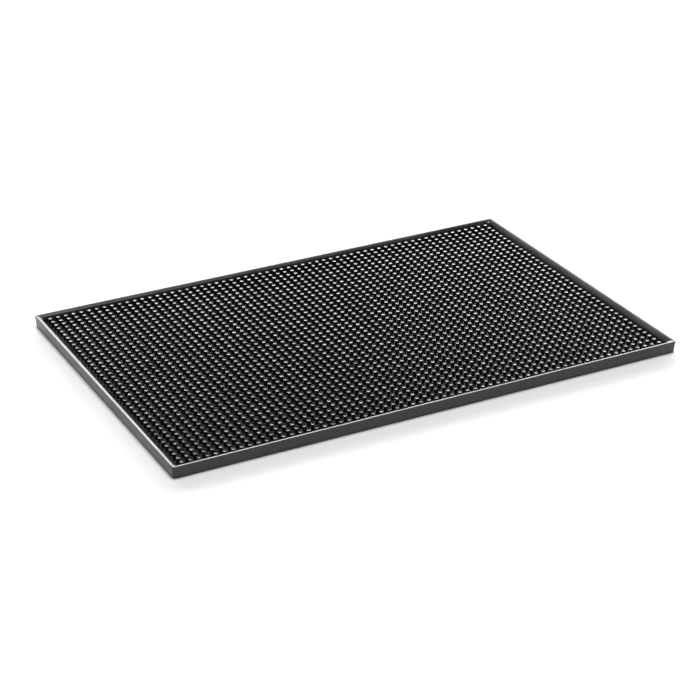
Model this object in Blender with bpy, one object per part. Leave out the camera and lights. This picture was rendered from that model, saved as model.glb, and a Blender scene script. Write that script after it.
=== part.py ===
"""Bar service mat: a shallow black rubber tray whose floor carries a square grid of upright nubs.

The real mat is one moulding. Its regions are separate objects here: the floor sheet, the four sides of
the raised rim, and the nubs row by row. Lengths are in metres and +Z is up. The origin is on the
supporting surface, under the middle of the mat, and the long side lies along X.
"""

import math

import bmesh
import bpy

# Overall size
LENGTH = 0.450
DEPTH = 0.298
HEIGHT = 0.010

# Rim section, from its outer face to its foot on the floor sheet
RIM_WIDTH = 0.0060
RIM_DRAFT = 0.0004
RIM_BOTTOM_RADIUS = 0.0008
RIM_EDGE_RADIUS = 0.00045
RIM_FLAT = 0.0005
RIM_CROWN_RADIUS = 0.0045
RIM_WALL_LEAN = 11.0
EDGE_STEPS = 4
CROWN_STEPS = 9

# Floor sheet
SHEET_THICKNESS = 0.003

# Nub grid: rows run along X and columns along Y
NUB_PITCH = 0.00702
NUB_COLUMNS = 62
NUB_ROWS = 41
NUB_TOP = 0.0083
NUB_TOP_DIAMETER = 0.0029
NUB_FOOT_DIAMETER = 0.0033
NUB_EDGE_RADIUS = 0.0002
NUB_EDGE_STEPS = 2

# Separate solids stay this far apart
GAP = 0.0003

SMOOTH_BELOW = math.radians(35)
WELD_DISTANCE = 1e-6

RUBBER_COLOUR = (0.012, 0.012, 0.0125, 1.0)
RUBBER_ROUGHNESS = 0.25

# Each side's turn about Z from the front side's place, its length, and the mat's size across it
RIM_SIDES = {
    "rim_front": (0.0, LENGTH, DEPTH),
    "rim_right": (math.pi / 2, DEPTH, LENGTH),
    "rim_back": (math.pi, LENGTH, DEPTH),
    "rim_left": (-math.pi / 2, DEPTH, LENGTH),
}


def clear_scene():
    for obj in list(bpy.data.objects):
        bpy.data.objects.remove(obj)


def new_collection(name):
    collection = bpy.data.collections.new(name)
    bpy.context.scene.collection.children.link(collection)
    return collection


def rubber_material():
    material = bpy.data.materials.new("black_rubber")
    material.use_nodes = True
    shader = material.node_tree.nodes["Principled BSDF"]
    shader.inputs["Base Color"].default_value = RUBBER_COLOUR
    shader.inputs["Roughness"].default_value = RUBBER_ROUGHNESS
    shader.inputs["Metallic"].default_value = 0.0
    return material


def arc(centre, radii, start, end, steps):
    """Points along an elliptical arc, from the start angle to the end angle in degrees."""
    points = []
    for step in range(steps + 1):
        angle = math.radians(start + (end - start) * step / steps)
        points.append((centre[0] + radii[0] * math.cos(angle), centre[1] + radii[1] * math.sin(angle)))
    return points


def rim_outline():
    """Rim section as (distance in from the outer edge, height), counter-clockwise.

    The outer face leans out a little towards the top. A narrow flat follows, and then a round crown,
    which ends in the leaning inner wall. RIM_WALL_LEAN is in degrees.
    """
    bottom_radii = (RIM_BOTTOM_RADIUS, RIM_BOTTOM_RADIUS)
    bottom_centre = (RIM_DRAFT + RIM_BOTTOM_RADIUS, RIM_BOTTOM_RADIUS)
    crown_radii = (RIM_CROWN_RADIUS, RIM_CROWN_RADIUS)
    crown_centre = (RIM_EDGE_RADIUS + RIM_FLAT, HEIGHT - RIM_CROWN_RADIUS)
    edge_radii = (RIM_EDGE_RADIUS, RIM_EDGE_RADIUS)
    edge_centre = (RIM_EDGE_RADIUS, HEIGHT - RIM_EDGE_RADIUS)
    return (
        arc(bottom_centre, bottom_radii, 180, 270, EDGE_STEPS)
        + [(RIM_WIDTH, 0.0), (RIM_WIDTH, SHEET_THICKNESS)]
        + arc(crown_centre, crown_radii, RIM_WALL_LEAN, 90, CROWN_STEPS)
        + arc(edge_centre, edge_radii, 90, 180, EDGE_STEPS)
    )


def nub_row_outline():
    """Section across a row of nubs as (offset from the row's middle, height), counter-clockwise."""
    foot = SHEET_THICKNESS + GAP
    shoulder = NUB_TOP_DIAMETER / 2 - NUB_EDGE_RADIUS
    shoulder_height = NUB_TOP - NUB_EDGE_RADIUS
    radii = (NUB_EDGE_RADIUS, NUB_EDGE_RADIUS)
    return (
        [(-NUB_FOOT_DIAMETER / 2, foot), (NUB_FOOT_DIAMETER / 2, foot)]
        + arc((shoulder, shoulder_height), radii, 0, 90, NUB_EDGE_STEPS)
        + arc((-shoulder, shoulder_height), radii, 90, 180, NUB_EDGE_STEPS)
    )


def swept_mesh(name, outline, length):
    """The outline swept along X: a filled 2D curve with an extrude, made a closed mesh."""
    curve = bpy.data.curves.new(name + "_outline", "CURVE")
    curve.dimensions = "2D"
    curve.fill_mode = "BOTH"
    curve.extrude = length / 2
    spline = curve.splines.new("POLY")
    spline.points.add(len(outline) - 1)
    for point, (across, height) in zip(spline.points, outline):
        point.co = (across, height, 0.0, 1.0)
    spline.use_cyclic_u = True

    guide = bpy.data.objects.new(curve.name, curve)
    bpy.context.scene.collection.objects.link(guide)
    # The curve's own X, Y and Z become the mat's Y, Z and X.
    guide.rotation_euler = (math.pi / 2, 0.0, math.pi / 2)
    bpy.context.view_layer.update()
    graph = bpy.context.evaluated_depsgraph_get()
    mesh = bpy.data.meshes.new_from_object(guide.evaluated_get(graph))
    mesh.transform(guide.matrix_world)
    mesh.name = name
    bpy.data.objects.remove(guide)
    return mesh


def finish_mesh(mesh, shape):
    """Welds the caps to the sides, writes the shape into the mesh and shades its round stretches."""
    bmesh.ops.remove_doubles(shape, verts=shape.verts, dist=WELD_DISTANCE)
    bmesh.ops.recalc_face_normals(shape, faces=shape.faces)
    shape.to_mesh(mesh)
    shape.free()
    mesh.shade_smooth()
    mesh.set_sharp_from_angle(angle=SMOOTH_BELOW)


def add_object(name, mesh, collection, material):
    mesh.materials.clear()
    mesh.materials.append(material)
    obj = bpy.data.objects.new(name, mesh)
    collection.objects.link(obj)
    return obj


def add_floor_sheet(collection, material):
    """The flat sheet inside the rim, which everything else stands on."""
    mesh = bpy.data.meshes.new("floor_sheet")
    shape = bmesh.new()
    bmesh.ops.create_cube(shape, size=1.0)
    inset = 2 * (RIM_WIDTH + GAP)
    bmesh.ops.scale(shape, vec=(LENGTH - inset, DEPTH - inset, SHEET_THICKNESS), verts=shape.verts)
    finish_mesh(mesh, shape)
    sheet = add_object("floor_sheet", mesh, collection, material)
    sheet.location.z = SHEET_THICKNESS / 2


def add_rim_side(name, collection, material):
    """One side of the rim, its ends mitred so that the four sides close into a frame."""
    turn, length, across = RIM_SIDES[name]
    mesh = swept_mesh(name, rim_outline(), length)
    shape = bmesh.new()
    shape.from_mesh(mesh)
    end_gap = GAP / math.sqrt(2)
    for vert in shape.verts:
        end = length / 2 - vert.co.y - end_gap
        vert.co.x = math.copysign(end, vert.co.x)
        vert.co.y -= across / 2
    finish_mesh(mesh, shape)
    side = add_object(name, mesh, collection, material)
    side.rotation_euler.z = turn


def add_nub_rows(collection, material):
    """The nubs, each row as one rib of the nubs' own height and width, numbered from the front."""
    length = (NUB_COLUMNS - 1) * NUB_PITCH + NUB_TOP_DIAMETER
    mesh = swept_mesh("nub_row", nub_row_outline(), length)
    shape = bmesh.new()
    shape.from_mesh(mesh)
    finish_mesh(mesh, shape)
    for row in range(NUB_ROWS):
        nubs = add_object(f"nub_row_{row + 1:02d}", mesh, collection, material)
        nubs.location.y = (row - (NUB_ROWS - 1) / 2) * NUB_PITCH


def main():
    clear_scene()
    collection = new_collection("bar_mat")
    material = rubber_material()
    add_floor_sheet(collection, material)
    for name in RIM_SIDES:
        add_rim_side(name, collection, material)
    add_nub_rows(collection, material)


main()
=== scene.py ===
"""Looks of the bar service mat: one glossy black rubber moulding on a pale studio floor.

The moulding's tray and rim are one continuous skin, and each row of nubs is a piece of its own.
Lengths are in metres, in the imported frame.
"""

import math

import bmesh
import bpy
import numpy as np
from mathutils import Matrix, Vector


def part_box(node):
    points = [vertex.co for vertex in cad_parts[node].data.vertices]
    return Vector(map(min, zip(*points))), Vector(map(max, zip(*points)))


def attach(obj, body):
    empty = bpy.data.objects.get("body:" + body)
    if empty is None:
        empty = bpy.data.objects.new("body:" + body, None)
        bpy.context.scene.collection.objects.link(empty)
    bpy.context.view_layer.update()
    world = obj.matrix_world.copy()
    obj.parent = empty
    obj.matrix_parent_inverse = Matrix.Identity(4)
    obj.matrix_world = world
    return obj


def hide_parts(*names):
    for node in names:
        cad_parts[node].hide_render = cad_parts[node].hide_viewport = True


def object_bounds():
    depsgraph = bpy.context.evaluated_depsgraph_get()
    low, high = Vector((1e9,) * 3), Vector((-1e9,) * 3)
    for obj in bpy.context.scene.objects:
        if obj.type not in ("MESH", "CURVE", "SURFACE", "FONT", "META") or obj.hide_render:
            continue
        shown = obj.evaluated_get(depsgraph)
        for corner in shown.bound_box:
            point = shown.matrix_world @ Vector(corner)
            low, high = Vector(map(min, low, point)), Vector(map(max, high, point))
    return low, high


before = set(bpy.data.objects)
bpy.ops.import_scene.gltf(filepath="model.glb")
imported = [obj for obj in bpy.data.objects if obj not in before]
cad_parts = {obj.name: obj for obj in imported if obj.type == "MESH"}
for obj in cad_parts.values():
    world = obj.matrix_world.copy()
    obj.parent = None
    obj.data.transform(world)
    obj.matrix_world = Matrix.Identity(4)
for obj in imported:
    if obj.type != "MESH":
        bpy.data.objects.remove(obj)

CAD_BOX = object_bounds()

# Sizes read from the frame
HALF_LENGTH = CAD_BOX[1].x
HALF_DEPTH = CAD_BOX[1].y
RIM_TOP = CAD_BOX[1].z
SHEET_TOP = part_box("floor_sheet")[1].z
RIM_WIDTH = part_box("rim_left")[1].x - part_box("rim_left")[0].x
ROW_NODES = sorted(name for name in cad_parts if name.startswith("nub_row_"))
NUB_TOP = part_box(ROW_NODES[0])[1].z

# Rim section: a narrow land that falls inwards a little, then a round crown and a leaning inner wall.
# The fall and the lean are in degrees.
RIM_DRAFT = 0.0004
RIM_BOTTOM_RADIUS = 0.0008
RIM_EDGE_RADIUS = 0.00045
RIM_LAND = 0.0005
RIM_LAND_FALL = 4.0
RIM_CROWN_RADIUS = 0.0045
RIM_WALL_LEAN = 11.0
RIM_FILLET = 0.0008
OUTER_CORNER_BOTTOM = 0.0030
OUTER_CORNER_TOP = 0.0015
INNER_CORNER_RADIUS = 0.0030
CORNER_STEPS = 8
BOTTOM_STEPS = 5
EDGE_STEPS = 6
CROWN_STEPS = 20
FILLET_STEPS = 6

# Nub section: a tapered pin whose top is a shallow dish, a sloping ring around a level middle.
# The middle is a share of the dish's radius, and the base is sunk into the sheet.
NUB_TOP_RADIUS = 0.00145
NUB_FOOT_RADIUS = 0.00165
NUB_FILLET = 0.00025
NUB_LIP_RADIUS = 0.00012
NUB_DISH_SLOPE = 7.0
NUB_DISH_MIDDLE = 0.3
NUB_SINK = 0.00010
NUB_SEGMENTS = 18
NUB_FILLET_STEPS = 3
NUB_LIP_STEPS = 4

# How much one nub differs from the next: slopes of its axis and of its top, and how late the tilt sets in
NUB_LEAN = 0.010
NUB_TILT = 0.007
NUB_TILT_POWER = 4
NUB_SEED = 7

SMOOTH_BELOW = math.radians(50)

# Rubber. Noise scales are in features per metre, and bump distances in metres.
DARK_RUBBER = (0.009, 0.009, 0.0095, 1.0)
LIGHT_RUBBER = (0.015, 0.015, 0.0155, 1.0)
RUBBER_IOR = 1.6
CLOUD_SCALE = 38.0
RIPPLE_SCALE = 210.0
RIPPLE_STRENGTH = 0.6
PEBBLE_SCALE = 1900.0
PEBBLE_DISTANCE = 0.00002

# Wear: how far down from a top edge it reaches, and how it looks there
WEAR_DEPTH = 0.0005
WEAR_SCALE = 330.0
WORN_COLOUR = (0.040, 0.040, 0.041, 1.0)
WORN_ROUGHER = 0.04

# Studio floor
FLOOR_COLOUR = (0.92, 0.92, 0.92, 1.0)
FLOOR_ROUGHNESS = 0.6
FLOOR_SPECULAR = 0.2
FLOOR_HALF_SIZE = 6.0

# Softbox and horizon: radiances, and heights as sines of the angle above the floor. The softbox turns
# from the back of the mat to its right, and its side edges are cosines of the angle from its middle.
SOFTBOX_TURN = math.radians(27)
SOFTBOX_OUTSIDE = 0.60
SOFTBOX_INSIDE = 0.80
SOFTBOX = 9.0
SOFTBOX_FOOT = 0.10
SOFTBOX_LOW = 0.20
SOFTBOX_HIGH = 0.38
SOFTBOX_TOP = 0.50
HORIZON = 1.3
HORIZON_FULL = 0.12
HORIZON_END = 0.30
CEILING = 0.05

# Overhead light
OVERHEAD_HEIGHT = 5.0
OVERHEAD_SIDE = 2.4
OVERHEAD_POWER = 200.0

# Camera
AIM = Vector((-0.01480, -0.02760, 0.0052))
DISTANCE = 1.7446
AZIMUTH = math.radians(-27.18)
ELEVATION = math.radians(26.27)
ROLL = math.radians(-0.45)
LENS = 108.9
CLIP_START = 0.01


def row_middle(node):
    low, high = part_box(node)
    return (low.y + high.y) / 2


def arc(centre, radius, start, end, steps):
    """Points (across, height) along a circular arc, from start to end in degrees."""
    points = []
    for step in range(steps + 1):
        angle = math.radians(start + (end - start) * step / steps)
        points.append((centre[0] + radius * math.cos(angle), centre[1] + radius * math.sin(angle)))
    return points


def circle(radius, height):
    """One level ring of points around a nub's axis."""
    turn = 2 * math.pi / NUB_SEGMENTS
    return [(radius * math.cos(i * turn), radius * math.sin(i * turn), height) for i in range(NUB_SEGMENTS)]


def rounded_rectangle(half_x, half_y, radius, height):
    """One level ring of points around the mat, with round corners."""
    points = []
    for quarter, (side_x, side_y) in enumerate(((1, 1), (-1, 1), (-1, -1), (1, -1))):
        for step in range(CORNER_STEPS + 1):
            angle = math.pi / 2 * (quarter + step / CORNER_STEPS)
            x = side_x * (half_x - radius) + radius * math.cos(angle)
            y = side_y * (half_y - radius) + radius * math.sin(angle)
            points.append((x, y, height))
    return points


def loft(rings):
    """A closed body through level rings, listed from the underside out, up and back in."""
    shape = bmesh.new()
    made = [[shape.verts.new(point) for point in ring] for ring in rings]
    for lower, upper in zip(made, made[1:]):
        for i in range(len(lower)):
            j = (i + 1) % len(lower)
            shape.faces.new((lower[i], lower[j], upper[j], upper[i]))
    shape.faces.new(reversed(made[0]))
    shape.faces.new(made[-1])
    return shape


def mesh_from(shape, name):
    bmesh.ops.recalc_face_normals(shape, faces=shape.faces)
    mesh = bpy.data.meshes.new(name)
    shape.to_mesh(mesh)
    shape.free()
    mesh.shade_smooth()
    mesh.set_sharp_from_angle(angle=SMOOTH_BELOW)
    return mesh


def add_piece(name, mesh, material):
    mesh.materials.append(material)
    piece = bpy.data.objects.new(name, mesh)
    bpy.context.scene.collection.objects.link(piece)
    return piece


def declare(piece, nodes):
    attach(piece, "root")
    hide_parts(*nodes)


def tray_profile():
    """(inset from the outer edge, height) from the underside to the floor inside the rim."""
    bottom = (RIM_DRAFT + RIM_BOTTOM_RADIUS, RIM_BOTTOM_RADIUS)
    edge = (RIM_EDGE_RADIUS, RIM_TOP - RIM_EDGE_RADIUS)
    fall = math.radians(RIM_LAND_FALL)
    land_end = (RIM_EDGE_RADIUS + RIM_LAND, RIM_TOP - RIM_LAND * math.tan(fall))
    crown = (land_end[0] - RIM_CROWN_RADIUS * math.sin(fall), land_end[1] - RIM_CROWN_RADIUS * math.cos(fall))
    foot = (RIM_WIDTH + RIM_FILLET, SHEET_TOP + RIM_FILLET)
    return (
        [(RIM_WIDTH, 0.0)]
        + arc(bottom, RIM_BOTTOM_RADIUS, 270, 180, BOTTOM_STEPS)
        + arc(edge, RIM_EDGE_RADIUS, 180, 90 - RIM_LAND_FALL, EDGE_STEPS)
        + arc(crown, RIM_CROWN_RADIUS, 90 - RIM_LAND_FALL, RIM_WALL_LEAN, CROWN_STEPS)
        + arc(foot, RIM_FILLET, 180 + RIM_WALL_LEAN, 270, FILLET_STEPS)
        + [(RIM_WIDTH + 2 * RIM_FILLET, SHEET_TOP)]
    )


def corner_radius(inset, height):
    """Rounder at the bottom of the outer face than at its top, and then going over to the inner wall's."""
    share = min(inset / RIM_WIDTH, 1.0)
    rise = height / RIM_TOP
    outer = OUTER_CORNER_BOTTOM + (OUTER_CORNER_TOP - OUTER_CORNER_BOTTOM) * rise
    return outer + (INNER_CORNER_RADIUS - outer) * share


def add_tray(material):
    """The floor and the rim around it, as one skin."""
    rings = []
    for inset, height in tray_profile():
        radius = corner_radius(inset, height)
        rings.append(rounded_rectangle(HALF_LENGTH - inset, HALF_DEPTH - inset, radius, height))
    piece = add_piece("tray", mesh_from(loft(rings), "tray"), material)
    declare(piece, ["floor_sheet", "rim_front", "rim_right", "rim_back", "rim_left"])


def nub_profile():
    """(radius, height) from a nub's sunk base, up its tapered side and over its lip into the dish."""
    fillet_centre = (NUB_FOOT_RADIUS + NUB_FILLET, SHEET_TOP + NUB_FILLET)
    fillet = arc(fillet_centre, NUB_FILLET, 270, 180, NUB_FILLET_STEPS)
    lip_centre = (NUB_TOP_RADIUS - NUB_LIP_RADIUS, NUB_TOP - NUB_LIP_RADIUS)
    lip = arc(lip_centre, NUB_LIP_RADIUS, 0, 90 + NUB_DISH_SLOPE, NUB_LIP_STEPS)
    dish_radius, dish_height = lip[-1]
    middle_radius = dish_radius * NUB_DISH_MIDDLE
    middle_height = dish_height - (dish_radius - middle_radius) * math.tan(math.radians(NUB_DISH_SLOPE))
    middle = [(middle_radius, middle_height), (middle_radius / 2, middle_height)]
    return [(NUB_FOOT_RADIUS + NUB_FILLET, SHEET_TOP - NUB_SINK)] + fillet + lip + middle


def vary(points, variation):
    """One nub's points, leaning a little and with its top tilted a little, as moulded rubber comes out."""
    lean_x, lean_y, tilt_x, tilt_y = variation
    length = NUB_TOP - SHEET_TOP
    rise = np.clip((points[:, 2] - SHEET_TOP) / length, 0.0, 1.0)
    varied = points.copy()
    varied[:, 0] += lean_x * rise * length
    varied[:, 1] += lean_y * rise * length
    varied[:, 2] += (tilt_x * points[:, 0] + tilt_y * points[:, 1]) * rise**NUB_TILT_POWER
    return varied


def nub_row_mesh(name, points, faces, columns, pitch, random):
    """A whole row of nubs, each a closed body of its own."""
    spread = np.array((NUB_LEAN, NUB_LEAN, NUB_TILT, NUB_TILT))
    all_points = []
    all_faces = []
    for column in range(columns):
        nub = vary(points, random.normal(size=4) * spread)
        nub[:, 0] += (column - (columns - 1) / 2) * pitch
        all_points.append(nub)
        start = column * len(points)
        all_faces += [[start + corner for corner in face] for face in faces]
    mesh = bpy.data.meshes.new(name)
    mesh.from_pydata(np.concatenate(all_points).tolist(), [], all_faces)
    mesh.shade_smooth()
    mesh.set_sharp_from_angle(angle=SMOOTH_BELOW)
    return mesh


def add_nub_rows(material):
    """Every nub. One seeded run of random numbers goes through the rows from the front to the back."""
    pitch = row_middle(ROW_NODES[1]) - row_middle(ROW_NODES[0])
    low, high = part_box(ROW_NODES[0])
    columns = round((high.x - low.x) / pitch) + 1
    nub = mesh_from(loft([circle(radius, height) for radius, height in nub_profile()]), "nub")
    points = np.array([vert.co[:] for vert in nub.vertices])
    faces = [list(face.vertices) for face in nub.polygons]
    bpy.data.meshes.remove(nub)
    random = np.random.default_rng(NUB_SEED)
    for node in ROW_NODES:
        name = node.replace("nub_row", "nubs")
        piece = add_piece(name, nub_row_mesh(name, points, faces, columns, pitch, random), material)
        piece.location.y = row_middle(node)
        declare(piece, [node])


class Nodes:
    """Short calls for building the node tree of a material or a world."""

    def __init__(self, owner):
        owner.use_nodes = True
        self.owner = owner
        self.tree = owner.node_tree
        self.shader = self.tree.nodes.get("Principled BSDF")

    def add(self, kind, **settings):
        node = self.tree.nodes.new(kind)
        for key, value in settings.items():
            setattr(node, key, value)
        return node

    def link(self, source, target):
        self.tree.links.new(source, target)

    def feed(self, value, socket):
        """Links another node's output to the socket, or sets a plain value on it."""
        if isinstance(value, bpy.types.NodeSocket):
            self.link(value, socket)
        else:
            socket.default_value = value

    def noise(self, vector, scale, detail, roughness):
        node = self.add("ShaderNodeTexNoise")
        node.inputs["Scale"].default_value = scale
        node.inputs["Detail"].default_value = detail
        node.inputs["Roughness"].default_value = roughness
        self.link(vector, node.inputs["Vector"])
        return node.outputs["Fac"]

    def map_range(self, value, low, high, start, end):
        """A smooth step from start, where the value is at low, to end, where it is at high."""
        node = self.add("ShaderNodeMapRange", interpolation_type="SMOOTHSTEP")
        for socket, number in zip(("From Min", "From Max", "To Min", "To Max"), (low, high, start, end)):
            node.inputs[socket].default_value = number
        self.link(value, node.inputs["Value"])
        return node.outputs["Result"]

    def combine(self, operation, first, second):
        node = self.add("ShaderNodeMath", operation=operation)
        self.feed(first, node.inputs[0])
        self.feed(second, node.inputs[1])
        return node.outputs["Value"]

    def bump(self, height, distance, strength, normal=None):
        node = self.add("ShaderNodeBump")
        node.inputs["Distance"].default_value = distance
        node.inputs["Strength"].default_value = strength
        self.link(height, node.inputs["Height"])
        if normal is not None:
            self.link(normal, node.inputs["Normal"])
        return node.outputs["Normal"]

    def mix_colour(self, factor, first, second):
        node = self.add("ShaderNodeMix", data_type="RGBA")
        self.feed(factor, node.inputs["Factor"])
        self.feed(first, node.inputs["A"])
        self.feed(second, node.inputs["B"])
        return node.outputs["Result"]


def rubber(name, roughness, grain, ripple, edge_height):
    """Moulded black rubber: a fine pebbled grain and faint flow clouds, its top edges greyed by wear.

    roughness is the pair of values that the clouds run between, grain the strength of the pebbles, ripple
    the height of the ripples, and edge_height the height of the edges that wear.
    """
    nodes = Nodes(bpy.data.materials.new(name))
    place = nodes.add("ShaderNodeNewGeometry").outputs["Position"]
    height = nodes.add("ShaderNodeSeparateXYZ")
    nodes.link(place, height.inputs["Vector"])
    clouds = nodes.noise(place, CLOUD_SCALE, 4.0, 0.55)
    pebbles = nodes.noise(place, PEBBLE_SCALE, 2.0, 0.5)
    ripples = nodes.noise(place, RIPPLE_SCALE, 2.0, 0.5)

    near_edge = nodes.map_range(height.outputs["Z"], edge_height - WEAR_DEPTH, edge_height, 0.0, 1.0)
    patches = nodes.map_range(nodes.noise(place, WEAR_SCALE, 3.0, 0.6), 0.46, 0.66, 0.0, 1.0)
    wear = nodes.combine("MULTIPLY", near_edge, patches)

    fresh = nodes.mix_colour(clouds, DARK_RUBBER, LIGHT_RUBBER)
    nodes.feed(nodes.mix_colour(wear, fresh, WORN_COLOUR), nodes.shader.inputs["Base Color"])

    low, high = roughness
    polish = nodes.map_range(clouds, 0.3, 0.7, low, high)
    scuff = nodes.combine("MULTIPLY", wear, WORN_ROUGHER)
    nodes.feed(nodes.combine("ADD", polish, scuff), nodes.shader.inputs["Roughness"])

    waves = nodes.bump(ripples, ripple, RIPPLE_STRENGTH)
    nodes.feed(nodes.bump(pebbles, PEBBLE_DISTANCE, grain, waves), nodes.shader.inputs["Normal"])
    nodes.shader.inputs["IOR"].default_value = RUBBER_IOR
    nodes.shader.inputs["Specular IOR Level"].default_value = 0.5
    return nodes.owner


def pale_floor():
    nodes = Nodes(bpy.data.materials.new("pale_floor"))
    nodes.shader.inputs["Base Color"].default_value = FLOOR_COLOUR
    nodes.shader.inputs["Roughness"].default_value = FLOOR_ROUGHNESS
    nodes.shader.inputs["Specular IOR Level"].default_value = FLOOR_SPECULAR
    shape = bmesh.new()
    bmesh.ops.create_grid(shape, x_segments=1, y_segments=1, size=FLOOR_HALF_SIZE)
    mesh = bpy.data.meshes.new("studio_floor")
    shape.to_mesh(mesh)
    shape.free()
    mesh.materials.append(nodes.owner)
    floor = bpy.data.objects.new("studio_floor", mesh)
    bpy.context.scene.collection.objects.link(floor)


def overhead_light():
    """A square area light straight above the mat. A new light faces down, so it needs no turn."""
    data = bpy.data.lights.new("overhead_softbox", "AREA")
    data.shape = "RECTANGLE"
    data.size = OVERHEAD_SIDE
    data.size_y = OVERHEAD_SIDE
    data.energy = OVERHEAD_POWER
    light = bpy.data.objects.new("overhead_softbox", data)
    light.location.z = OVERHEAD_HEIGHT
    bpy.context.scene.collection.objects.link(light)


def studio_world():
    """A dim studio with a white horizon all round and a large low softbox behind the mat, to its right."""
    nodes = Nodes(bpy.data.worlds.new("studio"))
    background = nodes.tree.nodes["Background"]
    direction = nodes.add("ShaderNodeTexCoord").outputs["Generated"]
    height = nodes.add("ShaderNodeSeparateXYZ")
    nodes.link(direction, height.inputs["Vector"])
    towards = nodes.add("ShaderNodeVectorMath", operation="DOT_PRODUCT")
    nodes.link(direction, towards.inputs[0])
    towards.inputs[1].default_value = (math.sin(SOFTBOX_TURN), math.cos(SOFTBOX_TURN), 0.0)
    window = nodes.map_range(towards.outputs["Value"], SOFTBOX_OUTSIDE, SOFTBOX_INSIDE, 0.0, SOFTBOX)
    rise = nodes.map_range(height.outputs["Z"], SOFTBOX_FOOT, SOFTBOX_LOW, 0.0, 1.0)
    fall = nodes.map_range(height.outputs["Z"], SOFTBOX_HIGH, SOFTBOX_TOP, 1.0, 0.0)
    softbox = nodes.combine("MULTIPLY", nodes.combine("MULTIPLY", window, rise), fall)
    horizon = nodes.map_range(height.outputs["Z"], HORIZON_FULL, HORIZON_END, HORIZON, CEILING)
    nodes.link(nodes.combine("ADD", softbox, horizon), background.inputs["Strength"])
    background.inputs["Color"].default_value = (1.0, 1.0, 1.0, 1.0)
    bpy.context.scene.world = nodes.owner


def add_camera():
    data = bpy.data.cameras.new("camera")
    data.lens = LENS
    data.clip_start = CLIP_START
    camera = bpy.data.objects.new("camera", data)
    level = math.cos(ELEVATION)
    back = Vector((math.sin(AZIMUTH) * level, -math.cos(AZIMUTH) * level, math.sin(ELEVATION)))
    turn = Matrix.Rotation(AZIMUTH, 4, "Z") @ Matrix.Rotation(math.pi / 2 - ELEVATION, 4, "X")
    camera.matrix_world = Matrix.Translation(AIM + back * DISTANCE) @ turn @ Matrix.Rotation(ROLL, 4, "Z")
    bpy.context.scene.collection.objects.link(camera)
    bpy.context.scene.camera = camera


tray_rubber = rubber("tray_rubber", roughness=(0.28, 0.36), grain=0.3, ripple=0.00005, edge_height=RIM_TOP)
nub_rubber = rubber("nub_rubber", roughness=(0.09, 0.14), grain=0.15, ripple=0.00001, edge_height=NUB_TOP)
add_tray(tray_rubber)
add_nub_rows(nub_rubber)
pale_floor()
studio_world()
overhead_light()
add_camera()
bpy.context.scene.view_settings.view_transform = "Standard"
